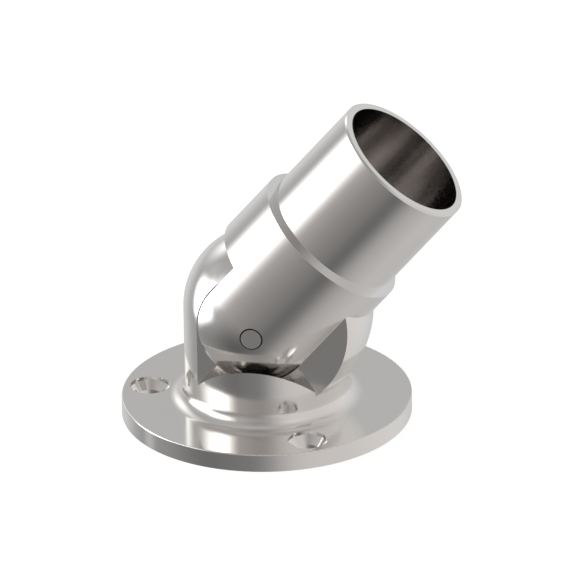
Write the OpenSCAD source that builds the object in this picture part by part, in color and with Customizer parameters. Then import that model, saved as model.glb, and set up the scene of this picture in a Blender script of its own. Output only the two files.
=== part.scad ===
// Swivelling base flange for a round handrail tube.
// A round flange carries a neck that ends in a flat-sided tongue. A fork pivots on the tongue about a
// pin, and its hollow spigot slips into the tube. +Z is up from the mounting face, the flange's centre
// is the origin, the pin lies along Y, and the fork leans from upright towards +X.

/* [Handrail tube] */
// Outside diameter of the handrail tube, which the neck and the fork match
tube_d = 42.4; // [40:0.1:43.4]
// Wall thickness of the handrail tube
tube_wall = 2; // [1.5:0.1:2.6]
// Gap between the spigot and the inside of the tube, on the radius
tube_gap = 0.05; // [0.02:0.01:0.1]

/* [Flange] */
// Diameter of the round flange
flange_d = 75.3; // [73.5:0.1:100]
// Thickness of the flange
flange_t = 4.8; // [4:0.1:6]
// Rounding of the flange's top edge
flange_edge_r = 0.3; // [0.1:0.05:0.8]
// Radius of the blend from the flange up into the neck
neck_fillet_r = 3.8; // [1.5:0.1:4]
// Number of screw holes
screw_count = 3; // [2:1:6]
// Diameter of each screw hole
screw_d = 6.4; // [5:0.1:7]
// Diameter of the round recess at the top of each screw hole
sink_d = 10.3; // [8:0.1:10.8]
// Depth of the recess, below which the hole narrows as a countersink
recess_depth = 0.95; // [0.3:0.05:1.5]
// Width of flange left between its edge and each recess
recess_land = 1.7; // [1:0.1:2.4]

/* [Tongue] */
// Height of the pin above the mounting face
pivot_h = 29.9; // [28:0.1:38]
// Thickness of the tongue between its two flats
tongue_t = 29; // [26:0.1:31]
// Radius about the pin of the lobe on the side the fork leans to
lobe_r = 28.15; // [26.5:0.05:29]
// Rise of each pocket's floor away from the tongue, in degrees
pocket_rise = 49; // [40:1:55]
// Gap between a pocket's floor and the ear above it
pocket_gap = 1.15; // [0.8:0.05:2]

/* [Fork] */
// Lean of the fork from upright, as it stands at rest, in degrees
lean = 40.2; // [0:0.1:80]
// Largest lean of the fork, in degrees
lean_max = 80; // [60:1:80]
// Gap between each flat of the tongue and the ear beside it
side_gap = 0.12; // [0.05:0.01:0.2]
// Gap between the tongue's round edges and the hollow of the fork
hollow_gap = 0.5; // [0.35:0.05:0.8]
// Height above the pin of the collar's lower edge, on the side away from the lean
heel_h = 9.7; // [8:0.1:12]
// Width of the blunt land on the sharp edges of the ears and the collar
edge_land = 0.3; // [0.15:0.05:0.5]
// Height above the pin of the collar's upper edge
collar_h = 27.45; // [26:0.05:32]
// Height of the sloping shoulder between the collar and the spigot
shoulder_h = 1.27; // [0.5:0.01:2.5]
// Length of the spigot above the shoulder
spigot_l = 28.85; // [20:0.05:60]
// Wall thickness of the spigot
spigot_wall = 1.95; // [1.5:0.05:3]
// Chamfer around the outside of the spigot's mouth
mouth_chamfer = 0.2; // [0.2:0.05:1]
// Thickness of the web between the fork's hollow and the bore of the spigot
web_t = 2.5; // [1.5:0.1:4]

/* [Pin] */
// Diameter of the pin
pin_d = 5.5; // [4.5:0.1:7]
// Running gap between the pin and the tongue, on the radius
pin_gap = 0.04; // [0.02:0.01:0.08]
// Width of the groove around each end of the pin
groove_w = 0.25; // [0.15:0.01:0.4]
// Depth of the groove around each end of the pin
groove_depth = 1; // [0.5:0.1:2]

/* [Hidden] */
$fn = 96;

// Spare length by which a cut runs past the surface it opens
past = 1;

tube_r = tube_d / 2;
neck_r = tube_r;
flange_r = flange_d / 2;
screw_circle_r = flange_r - recess_land - sink_d / 2;
spigot_r = tube_r - tube_wall - tube_gap;
bore_r = spigot_r - spigot_wall;
pin_r = pin_d / 2;

// The hollow in the fork, as a ball about the pin for the neck's crown and a larger one for the lobe
crown_hollow_r = tube_r + hollow_gap;
lobe_hollow_r = lobe_r + hollow_gap;
slot_t = tongue_t + 2 * side_gap;

// Height above the pin of the collar's lower edge on the side of the lobe: there the large hollow
// breaks out of the collar, less the land
toe_h = sqrt(pow(lobe_hollow_r, 2) - pow(tube_r - edge_land, 2));

// The lobe reaches up to the toe when the fork is upright, and the large hollow has room for it up to
// the largest lean
lobe_top = asin(toe_h / lobe_hollow_r);
stop_slack = 180 / PI * hollow_gap / tube_r;
hollow_end = lobe_top + lean_max + stop_slack;

// Half width of the ears at their inner faces, blunted by the land
ear_r = sqrt(pow(tube_r, 2) - pow(slot_t / 2, 2)) - edge_land;

// Heights above the pin along the fork
spigot_foot_h = collar_h + shoulder_h;
mouth_h = spigot_foot_h + spigot_l;
bore_floor_h = lobe_hollow_r + web_t;

// Height above the mounting face of the foot of each pocket's floor, which keeps the floor one gap
// away from the round end of the ear
pocket_foot_h = pivot_h
  - (tube_r + pocket_gap - tongue_t / 2 * sin(pocket_rise)) / cos(pocket_rise);

// Reach of a cut that has to pass every outside surface of the knuckle
reach = 2 * lobe_hollow_r;

// Draws a side view, given in X and Z, as a slab of the given thickness centred on Y = 0.
module slab(thickness) {
  rotate([90, 0, 0]) linear_extrude(thickness, center = true) children();
}

// Side view of a sector about the pin, from straight down through +X up to the angle "top".
// Its lower edge lies "depth" below the pin.
module sector(top, depth) {
  polygon([
    [0, 0], [0, -depth], [reach, -depth], [reach, 0],
    for (a = [45 : 45 : top - 1]) reach * sqrt(2) * [cos(a), sin(a)],
    reach * sqrt(2) * [cos(top), sin(top)]
  ]);
}

// Half section of the flange, the blend, the neck and its round crown.
module base_section() {
  difference() {
    square([flange_r, flange_t]);
    translate([flange_r - flange_edge_r, flange_t - flange_edge_r]) difference() {
      square(flange_edge_r + past);
      circle(flange_edge_r);
    }
  }
  square([neck_r, pivot_h]);
  translate([neck_r, flange_t]) difference() {
    square(neck_fillet_r);
    translate([neck_fillet_r, neck_fillet_r]) circle(neck_fillet_r);
  }
  translate([0, pivot_h]) intersection() {
    circle(neck_r);
    square(neck_r);
  }
}

// The lobe: a ball about the pin, kept between the tongue's flats, on the side of the lean.
module lobe() {
  translate([0, 0, pivot_h]) intersection() {
    sphere(lobe_r);
    slab(tongue_t) sector(lobe_top, pivot_h - flange_t / 2);
  }
}

// The two pockets beside the tongue, whose floors rise outwards.
module pockets() {
  outer = reach - tongue_t / 2;
  for (side = [0, 1])
    mirror([0, side, 0]) rotate([90, 0, 90]) linear_extrude(2 * reach, center = true) polygon([
      [tongue_t / 2, pocket_foot_h],
      [reach, pocket_foot_h + outer * tan(pocket_rise)],
      [reach, pivot_h + 2 * reach],
      [tongue_t / 2, pivot_h + 2 * reach]
    ]);
}

// One screw hole, with its countersink and its recess, which is cut upwards past the blend.
module screw_hole() {
  sink_h = (sink_d - screw_d) / 2;
  recess_z = flange_t - recess_depth;
  translate([0, 0, -past]) cylinder(d = screw_d, h = flange_t + past);
  translate([0, 0, recess_z - sink_h]) cylinder(d1 = screw_d, d2 = sink_d, h = sink_h);
  translate([0, 0, recess_z]) cylinder(d = sink_d, h = recess_depth + neck_fillet_r + past);
}

// The flange, the neck and the tongue, cast as one piece.
module base_casting() {
  color("silver") difference() {
    union() {
      rotate_extrude() base_section();
      lobe();
    }
    pockets();
    translate([0, 0, pivot_h]) rotate([90, 0, 0])
      cylinder(r = pin_r + pin_gap, h = tongue_t + 2 * past, center = true);
    for (i = [0 : screw_count - 1])
      rotate([0, 0, 180 + i * 360 / screw_count])
        translate([screw_circle_r, 0, 0]) screw_hole();
  }
}

// Half section of the fork before its slot is cut, with the pin at the origin.
module fork_section() {
  difference() {
    union() {
      intersection() {
        circle(tube_r);
        translate([0, -tube_r]) square(tube_r);
      }
      square([tube_r, collar_h]);
      polygon([
        [0, collar_h], [tube_r, collar_h], [spigot_r, spigot_foot_h],
        [spigot_r, mouth_h - mouth_chamfer], [spigot_r - mouth_chamfer, mouth_h], [0, mouth_h]
      ]);
    }
    translate([0, bore_floor_h]) square([bore_r, mouth_h - bore_floor_h + past]);
  }
}

// Side view of everything below the two lower edges of the collar.
module below_collar() {
  translate([-reach, -reach]) square([reach, reach + heel_h]);
  translate([0, -reach]) square([reach, reach + toe_h]);
}

// Side view of the ears, round about the pin and straight above it.
module ear_outline() {
  circle(ear_r);
  translate([-ear_r, 0]) square([2 * ear_r, reach]);
}

// The slot between the ears, with the hollows that clear the crown and the lobe.
module fork_slot() {
  slab(slot_t) below_collar();
  intersection() {
    sphere(crown_hollow_r);
    slab(slot_t) square(reach, center = true);
  }
  intersection() {
    sphere(lobe_hollow_r);
    slab(slot_t) sector(hollow_end, reach);
  }
}

// The fork, the collar and the spigot, cast as one piece, with the pin at the origin.
module upright_fork() {
  difference() {
    rotate_extrude() fork_section();
    fork_slot();
    slab(2 * reach) difference() {
      below_collar();
      ear_outline();
    }
    rotate([90, 0, 0]) cylinder(r = pin_r, h = 2 * (tube_r + past), center = true);
    for (side = [0, 1])
      mirror([0, side, 0]) translate([0, groove_depth - tube_r, 0]) rotate([90, 0, 0])
        cylinder(r = pin_r + groove_w, h = groove_depth + past);
  }
}

// Places what turns with the fork at the pin's height and at the lean.
module at_lean() {
  translate([0, 0, pivot_h]) rotate([0, lean, 0]) children();
}

module swivel_fork() {
  color("silver") at_lean() upright_fork();
}

// The pin, pressed into both ears and flush with them.
module pivot_pin() {
  color("gray") at_lean() rotate([90, 0, 0]) cylinder(r = pin_r, h = tube_d, center = true);
}

base_casting();
swivel_fork();
pivot_pin();
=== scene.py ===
import math

import bpy
from mathutils import Matrix, Vector

# The looks of the swivelling base flange: polished steel in a bright room, as in the photograph
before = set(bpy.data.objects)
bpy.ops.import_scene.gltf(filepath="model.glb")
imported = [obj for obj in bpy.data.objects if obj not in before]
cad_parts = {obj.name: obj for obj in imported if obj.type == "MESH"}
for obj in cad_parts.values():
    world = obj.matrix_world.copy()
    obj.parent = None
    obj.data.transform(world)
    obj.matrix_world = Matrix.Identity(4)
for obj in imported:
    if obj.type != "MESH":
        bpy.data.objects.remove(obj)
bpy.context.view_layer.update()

MM = 0.001

# The photograph's frame, in pixels
PHOTO_W = 567
PHOTO_H = 566

# The camera, as fitted to the photograph: its direction from the object and its roll in degrees,
# its distance in metres, its scale at the object, and the pixel that shows the centre of the
# mounting face
CAMERA_AZIMUTH = 10.389
CAMERA_ELEVATION = 25.217
CAMERA_ROLL = -0.989
CAMERA_DISTANCE = 5.403
PIXELS_PER_METRE = 3853
ORIGIN_PIXEL = (266.511, 408.415)
CLIP_FACTOR = 10

# Measures that the finishes follow, as in part.scad. FORK_AXIS runs from the pin along the fork,
# and FORK_UNDER points square to it, out of its underside.
PIVOT = Vector((0, 0, 0.0299))
LEAN = math.radians(40.2)
FORK_AXIS = Vector((math.sin(LEAN), 0, math.cos(LEAN)))
FORK_UNDER = Vector((math.cos(LEAN), 0, -math.sin(LEAN)))
TUBE_R = 21.2 * MM
TONGUE_T = 29 * MM
SPIGOT_R = 19.15 * MM
BORE_R = 17.2 * MM
BORE_FLOOR = 31.15 * MM
GROOVE_R = 3 * MM
PIN_R = 2.75 * MM
MOUTH_CHAMFER = 0.2 * MM

# Where the finishes and the painted shade end: either a plain limit or the two ends of a soft edge
POCKET_R = TUBE_R - 0.05 * MM
POCKET_Y = TONGUE_T / 2 + 0.05 * MM
POCKET_Z = 8 * MM
BORE_END = BORE_FLOOR - 0.5 * MM
BORE_EDGE = (BORE_R + 0.03 * MM, BORE_R + 0.1 * MM)
GROOVE_EDGE = (GROOVE_R + 0.02 * MM, GROOVE_R + 0.06 * MM)
PIN_SIDE_EDGE = (TUBE_R - 0.06 * MM, TUBE_R - 0.02 * MM)
PIN_RIM_EDGE = (PIN_R - 0.06 * MM, PIN_R - 0.1 * MM)

# The level of the room as the metal mirrors it, and the least level of any part of it. Azimuth 0
# is in front of the object and 90 is to its right.
ROOM_LEVEL = 0.399
ROOM_LEAST = 0.02
# Broad glows: azimuth and elevation in degrees, tightness, and the level added at the middle
GLOWS = (
    (150.7, -5.0, 0.88, 0.450),
    (-142.4, -10.7, 7.36, 0.578),
    (-28.9, -39.6, 3.47, -0.412),
    (6.4, -34.5, 23.39, -0.177),
    (38.7, 46.6, 11.22, 0.517),
    (23.2, 47.2, 7.28, -0.565),
    (-76.4, 5.4, 10.12, 0.226),
    (-142.2, -7.5, 2.53, -0.533),
    (18.3, 3.6, 2.61, 0.288),
    (-103.6, 23.6, 30.49, 0.157),
    (128.6, 63.8, 31.81, -0.327),
    (173.8, -64.7, 19.47, -0.160),
    (2.3, 4.0, 13.00, -0.260),
)
# Soft boxes: azimuth, elevation, half width, half height, roll and width of the soft edge, in
# degrees, and the level added
SOFT_BOXES = (
    (-90.83, -0.10, 15.81, 15.13, 22.71, 19.04, 3.98),
    (-60.51, 26.31, 9.21, 15.21, -81.65, 31.44, 2.74),
    (-140.90, 28.48, 13.22, 8.99, 4.29, 32.30, 1.35),
    (-76.74, 15.01, 15.40, 0.02, -30.16, 20.85, 2.08),
)

# The colour of the room towards its lamps and below, and where it is plain
NEUTRAL = (1, 1, 1)
WARM = (1.015, 0.98, 0.97)
# Where it is plain. Each pair holds the two ends of a soft edge in degrees: how far this reaches to
# either side of the middle azimuth, the elevation above which it holds, the azimuth to the right
# of which it holds lower as well, and the elevation above which the whole room is plain.
WARM_MIDDLE = 35
WARM_REACH = (85, 105)
WARM_ABOVE = (-15, -25)
WARM_RIGHT = (25, 5)
WARM_OVERHEAD = (50, 35)

FLOOR_RADIUS = 30
FLOOR_CORNERS = 96
FLOOR_Z = -0.00005
FLOOR_GREY = (0.3, 0.3, 0.3)
FLOOR_GLOW = 0.85

# Colours and roughnesses of the finishes and of the painted shade. A pair is the range over which
# the polish varies.
POLISHED = (0.82, 0.806, 0.785)
POLISHED_ROUGHNESS = (0.1, 0.12)
PIN_ROUGHNESS = (0.12, 0.15)
SHOULDER_STEEL = (0.775, 0.777, 0.775)
# The pockets' colour is painted shade: their floors are darkened where shade falls in them.
POCKET_SHADE_STEEL = (0.62, 0.603, 0.585)
POCKET_ROUGHNESS = 0.18
BORE_LIGHT = (0.71, 0.69, 0.677)
BORE_DARK = (0.039, 0.038, 0.037)
BORE_ROUGHNESS = 0.13
# Painted shade for the narrow grooves round the pin: dark and dull where shade falls in the gap
GAP_SHADE = (0.02, 0.019, 0.017)
GAP_SHADE_ROUGHNESS = 0.8

# The unevenness of the polish: broad clouds of tint and roughness, a fine haze that adds
# roughness, and a fine relief. Scales are in waves per metre.
CLOUD_SCALE = 60
CLOUD_TINTS = (0.985, 1.015)
HAZE_SCALE = 900
HAZE_ROUGHNESS = 0.02
RELIEF_SCALE = 2600
RELIEF_DETAIL = 3
RELIEF_STRENGTH = 0.03
RELIEF_DEPTH = 0.02 * MM

# Dark streaks along the bore: their angles about its axis from its lowest line and how far each
# reaches, in degrees, the scale at which they vary, and the range of their strength
BORE_STREAKS = (43, 83, 112)
STREAK_REACH = 17
STREAK_SCALE = 120
STREAK_STRENGTH = (0.4, 0.8)

# Bands round the fork, shaded as sloping towards its axis: middle and half height along the axis,
# the slope in degrees, and the colour. The photograph's shoulder mirrors the room as a flat step,
# and the mouth has a slim bevel round it.
FORK_BANDS = (
    (28.085 * MM, 0.62 * MM, 84, SHOULDER_STEEL),
    (57.25 * MM, 0.33 * MM, 27, POLISHED),
)


def cos_sin(degrees):
    angle = math.radians(degrees)
    return math.cos(angle), math.sin(angle)


def towards(azimuth, elevation):
    """The unit vector towards an azimuth and an elevation."""
    cos_az, sin_az = cos_sin(azimuth)
    cos_el, sin_el = cos_sin(elevation)
    return Vector((sin_az * cos_el, -cos_az * cos_el, sin_el))


class Wires:
    """Adds nodes to a node tree and wires their inputs, given as sockets or as plain values."""

    # Inputs for the two values and output for the result of a mix node, by its data type
    MIX_SOCKETS = {"FLOAT": (2, 3, 0), "VECTOR": (4, 5, 1), "RGBA": (6, 7, 2)}

    def __init__(self, tree):
        self.tree = tree

    def join(self, value, socket):
        if isinstance(value, bpy.types.NodeSocket):
            self.tree.links.new(value, socket)
        elif socket.type == "RGBA":
            socket.default_value = (*value, 1)
        else:
            socket.default_value = value

    def add(self, kind, inputs=(), **settings):
        """A new node with the given settings, and with its inputs wired by name or by number."""
        node = self.tree.nodes.new(kind)
        for name, value in settings.items():
            setattr(node, name, value)
        for key, value in dict(inputs).items():
            self.join(value, node.inputs[key])
        return node

    def math(self, operation, *values):
        return self.add("ShaderNodeMath", enumerate(values), operation=operation).outputs[0]

    def vector(self, operation, *values):
        node = self.add("ShaderNodeVectorMath", enumerate(values), operation=operation)
        return node.outputs["Value" if operation in ("DOT_PRODUCT", "LENGTH") else "Vector"]

    def scaled(self, vector, factor):
        inputs = {"Vector": vector, "Scale": factor}
        return self.add("ShaderNodeVectorMath", inputs, operation="SCALE").outputs["Vector"]

    def split(self, vector):
        """The X, Y and Z of a vector."""
        return self.add("ShaderNodeSeparateXYZ", {0: vector}).outputs

    def length(self, vector, axes):
        """The length of a vector with only some of its axes counted."""
        return self.vector("LENGTH", self.vector("MULTIPLY", vector, axes))

    def apart(self, value, middle):
        """How far a value is from the middle, either way."""
        return self.math("ABSOLUTE", self.math("SUBTRACT", value, middle))

    def product(self, first, *others):
        for other in others:
            first = self.math("MULTIPLY", first, other)
        return first

    def fade(self, value, start, end):
        """1 up to the start, 0 beyond the end, and smooth between. The end may be the lower one."""
        inputs = {"Value": value, "From Min": start, "From Max": end, "To Min": 1, "To Max": 0}
        node = self.add("ShaderNodeMapRange", inputs, interpolation_type="SMOOTHSTEP")
        return node.outputs["Result"]

    def mix(self, data_type, factor, low, high):
        """low where the factor is 0 and high where it is 1."""
        first, second, result = self.MIX_SOCKETS[data_type]
        inputs = {0: factor, first: low, second: high}
        return self.add("ShaderNodeMix", inputs, data_type=data_type).outputs[result]

    def noise(self, place, scale, detail=2):
        inputs = {"Vector": place, "Scale": scale, "Detail": detail}
        return self.add("ShaderNodeTexNoise", inputs).outputs["Fac"]


def glow_level(w, direction, glow):
    """The level that one glow adds in the given direction."""
    azimuth, elevation, tightness, level = glow
    towards_middle = w.vector("DOT_PRODUCT", direction, towards(azimuth, elevation))
    nearness = w.math("MULTIPLY", w.math("SUBTRACT", towards_middle, 1), tightness)
    return w.math("MULTIPLY", w.math("EXPONENT", nearness), level)


def box_level(w, azimuth, elevation, box):
    """The level that one soft box adds in the direction of the given azimuth and elevation."""
    middle_az, middle_el, half_w, half_h, roll, soft, level = box
    cos, sin = cos_sin(roll)
    across = w.math("WRAP", w.math("SUBTRACT", azimuth, middle_az), 180, -180)
    above = w.math("SUBTRACT", elevation, middle_el)
    x = w.math("ADD", w.math("MULTIPLY", across, cos), w.math("MULTIPLY", above, sin))
    y = w.math("SUBTRACT", w.math("MULTIPLY", above, cos), w.math("MULTIPLY", across, sin))
    in_x = w.fade(w.math("ABSOLUTE", x), half_w - soft / 2, half_w + soft / 2)
    in_y = w.fade(w.math("ABSOLUTE", y), half_h - soft / 2, half_h + soft / 2)
    return w.product(in_x, in_y, level)


def warmth(w, azimuth, elevation):
    """1 where the room is plain, and 0 towards its lamps and below."""
    above = w.math("MAXIMUM", w.fade(elevation, *WARM_ABOVE), w.fade(azimuth, *WARM_RIGHT))
    in_front = w.product(w.fade(w.apart(azimuth, WARM_MIDDLE), *WARM_REACH), above)
    return w.math("MAXIMUM", in_front, w.fade(elevation, *WARM_OVERHEAD))


def build_world():
    """The room, as a level and a colour that depend on the direction alone."""
    world = bpy.data.worlds.new("studio")
    bpy.context.scene.world = world
    world.use_nodes = True
    w = Wires(world.node_tree)
    direction = w.add("ShaderNodeTexCoord").outputs["Generated"]
    x, y, z = w.split(direction)
    azimuth = w.math("DEGREES", w.math("ARCTAN2", x, w.math("MULTIPLY", y, -1)))
    elevation = w.math("DEGREES", w.math("ARCSINE", z))
    level = ROOM_LEVEL
    for glow in GLOWS:
        level = w.math("ADD", level, glow_level(w, direction, glow))
    for box in SOFT_BOXES:
        level = w.math("ADD", level, box_level(w, azimuth, elevation, box))
    colour = w.mix("RGBA", warmth(w, azimuth, elevation), NEUTRAL, WARM)
    background = world.node_tree.nodes["Background"]
    w.join(colour, background.inputs["Color"])
    w.join(w.math("MAXIMUM", level, ROOM_LEAST), background.inputs["Strength"])


def new_material(name):
    material = bpy.data.materials.new(name)
    material.use_nodes = True
    return material, Wires(material.node_tree)


def floor_white():
    """White as the camera sees it, and grey enough to keep the object's shadow."""
    material, w = new_material("floor_white")
    nodes = material.node_tree.nodes
    nodes.remove(nodes["Principled BSDF"])
    path = w.add("ShaderNodeLightPath").outputs
    seen = w.math("MAXIMUM", path["Is Camera Ray"], path["Is Glossy Ray"])
    seen = w.math("MAXIMUM", seen, path["Is Transmission Ray"])
    diffuse = w.add("ShaderNodeBsdfDiffuse", {"Color": FLOOR_GREY})
    glow = w.add("ShaderNodeEmission", {"Strength": w.math("MULTIPLY", seen, FLOOR_GLOW)})
    both = w.add("ShaderNodeAddShader", {0: diffuse.outputs[0], 1: glow.outputs[0]})
    w.join(both.outputs[0], nodes["Material Output"].inputs["Surface"])
    return material


def build_floor():
    corners = []
    for k in range(FLOOR_CORNERS):
        cos, sin = cos_sin(360 * k / FLOOR_CORNERS)
        corners.append((FLOOR_RADIUS * cos, FLOOR_RADIUS * sin, FLOOR_Z))
    mesh = bpy.data.meshes.new("floor")
    mesh.from_pydata(corners, [], [range(FLOOR_CORNERS)])
    mesh.materials.append(floor_white())
    floor = bpy.data.objects.new("floor", mesh)
    bpy.context.scene.collection.objects.link(floor)
    # The photograph's metal mirrors the room from below as well, with no floor in it.
    floor.visible_glossy = False
    floor.visible_shadow = False


class Steel:
    """Mirror-polished steel with a faint unevenness, over which other finishes and painted shade
    are laid.
    """

    def __init__(self, name, roughness):
        self.material, self.wires = new_material(name)
        w = self.wires
        self.place = w.add("ShaderNodeTexCoord").outputs["Object"]
        clouds = w.noise(self.place, CLOUD_SCALE)
        haze = w.math("MULTIPLY", w.noise(self.place, HAZE_SCALE), HAZE_ROUGHNESS)
        dark, light = ([tint * c for c in POLISHED] for tint in CLOUD_TINTS)
        self.colour = w.mix("RGBA", clouds, dark, light)
        self.roughness = w.math("ADD", w.mix("FLOAT", clouds, *roughness), haze)
        self.metallic = 1
        self.relief = w.add("ShaderNodeBump", {
            "Height": w.noise(self.place, RELIEF_SCALE, RELIEF_DETAIL),
            "Strength": RELIEF_STRENGTH,
            "Distance": RELIEF_DEPTH,
        })
        self.normal = self.relief.outputs[0]

    def cover(self, where, colour, roughness=None):
        """Lays another colour, and roughness if given, where the mask is 1: a finish or painted
        shade.
        """
        self.colour = self.wires.mix("RGBA", where, self.colour, colour)
        if roughness is not None:
            self.roughness = self.wires.mix("FLOAT", where, self.roughness, roughness)

    def paint_shade(self, where):
        """Lays painted shade, dark and dull, where the mask is 1."""
        self.cover(where, GAP_SHADE, GAP_SHADE_ROUGHNESS)
        self.metallic = self.wires.math("SUBTRACT", 1, where)

    def finished(self):
        """The material, with its shader wired."""
        shader = self.material.node_tree.nodes["Principled BSDF"]
        self.wires.join(self.colour, shader.inputs["Base Color"])
        self.wires.join(self.metallic, shader.inputs["Metallic"])
        self.wires.join(self.roughness, shader.inputs["Roughness"])
        self.wires.join(self.normal, shader.inputs["Normal"])
        return self.material


def base_steel():
    """Polished, apart from the floors of the two pockets beside the tongue, which are rougher and
    darkened with painted shade.
    """
    steel = Steel("base_steel", POLISHED_ROUGHNESS)
    w = steel.wires
    _, y, z = w.split(steel.place)
    pocket_shade = w.product(
        w.math("LESS_THAN", w.length(steel.place, (1, 1, 0)), POCKET_R),
        w.math("GREATER_THAN", w.math("ABSOLUTE", y), POCKET_Y),
        w.math("GREATER_THAN", z, POCKET_Z),
    )
    # Painted shade: the pocket floors are darkened, and made rougher.
    steel.cover(pocket_shade, POCKET_SHADE_STEEL, POCKET_ROUGHNESS)
    return steel.finished()


def fork_steel():
    """Polished outside, with dark streaks along the bore, and painted shade in the grooves round
    the pin.
    """
    steel = Steel("fork_steel", POLISHED_ROUGHNESS)
    w = steel.wires
    from_pivot = w.vector("SUBTRACT", steel.place, PIVOT)
    along = w.vector("DOT_PRODUCT", from_pivot, FORK_AXIS)
    radius = w.vector("LENGTH", w.vector("CROSS_PRODUCT", from_pivot, FORK_AXIS))

    in_bore = w.product(w.fade(radius, *BORE_EDGE), w.math("GREATER_THAN", along, BORE_END))
    sideways = w.vector("DOT_PRODUCT", from_pivot, (0, 1, 0))
    under = w.vector("DOT_PRODUCT", from_pivot, FORK_UNDER)
    round_bore = w.math("DEGREES", w.math("ARCTAN2", sideways, under))
    streaks = 0
    for middle in BORE_STREAKS:
        streak = w.fade(w.apart(round_bore, middle), 0, STREAK_REACH)
        streaks = w.math("ADD", streaks, streak)
    strength = w.mix("FLOAT", w.noise(steel.place, STREAK_SCALE), *STREAK_STRENGTH)
    bore_colour = w.mix("RGBA", w.product(streaks, strength), BORE_LIGHT, BORE_DARK)
    steel.cover(in_bore, bore_colour, BORE_ROUGHNESS)
    w.join(w.mix("FLOAT", in_bore, RELIEF_STRENGTH, 0), steel.relief.inputs["Strength"])

    outside = w.math("GREATER_THAN", radius, SPIGOT_R - MOUTH_CHAMFER)
    from_axis = w.vector("SUBTRACT", from_pivot, w.scaled(FORK_AXIS, along))
    outwards = w.vector("NORMALIZE", from_axis)
    for middle, half_height, slope, colour in FORK_BANDS:
        in_band = w.product(w.math("LESS_THAN", w.apart(along, middle), half_height), outside)
        steel.cover(in_band, colour)
        cos, sin = cos_sin(slope)
        sloping = w.vector("ADD", w.scaled(outwards, cos), FORK_AXIS * sin)
        in_world = w.add(
            "ShaderNodeVectorTransform", {0: sloping},
            vector_type="NORMAL", convert_from="OBJECT", convert_to="WORLD",
        )
        steel.normal = w.mix("VECTOR", in_band, steel.normal, in_world.outputs[0])

    # Painted shade in the grooves round the pin
    steel.paint_shade(w.fade(w.length(from_pivot, (1, 0, 1)), *GROOVE_EDGE))
    return steel.finished()


def pin_steel():
    """Ground ends, with painted shade on their rims and on the sides in the grooves."""
    steel = Steel("pin_steel", PIN_ROUGHNESS)
    w = steel.wires
    from_pivot = w.vector("SUBTRACT", steel.place, PIVOT)
    _, y, _ = w.split(from_pivot)
    side = w.fade(w.math("ABSOLUTE", y), *PIN_SIDE_EDGE)
    rim = w.fade(w.length(from_pivot, (1, 0, 1)), *PIN_RIM_EDGE)
    # Painted shade on the pin's sides in the grooves and on the rims of its ends
    steel.paint_shade(w.math("MAXIMUM", side, rim))
    return steel.finished()


def build_camera():
    """The photograph's camera, which sees the object at the photograph's own pixels."""
    back = towards(CAMERA_AZIMUTH, CAMERA_ELEVATION)
    level_right = towards(CAMERA_AZIMUTH + 90, 0)
    level_up = back.cross(level_right)
    cos, sin = cos_sin(CAMERA_ROLL)
    right = level_right * cos + level_up * sin
    up = level_up * cos - level_right * sin
    aside = (ORIGIN_PIXEL[0] - (PHOTO_W - 1) / 2) / PIXELS_PER_METRE
    above = ((PHOTO_H - 1) / 2 - ORIGIN_PIXEL[1]) / PIXELS_PER_METRE
    place = back * CAMERA_DISTANCE - right * aside - up * above
    data = bpy.data.cameras.new("camera")
    data.lens = PIXELS_PER_METRE * CAMERA_DISTANCE * data.sensor_width / PHOTO_W
    data.clip_start = CAMERA_DISTANCE / CLIP_FACTOR
    data.clip_end = CAMERA_DISTANCE * CLIP_FACTOR
    camera = bpy.data.objects.new("camera", data)
    turn = Matrix((right, up, back)).transposed()
    camera.matrix_world = Matrix.Translation(place) @ turn.to_4x4()
    bpy.context.scene.collection.objects.link(camera)
    bpy.context.scene.camera = camera


build_world()
build_floor()
build_camera()

finishes = {"base_casting": base_steel(), "swivel_fork": fork_steel(), "pivot_pin": pin_steel()}
for name, material in finishes.items():
    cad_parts[name].material_slots[0].material = material

bpy.context.scene.view_settings.view_transform = "Standard"
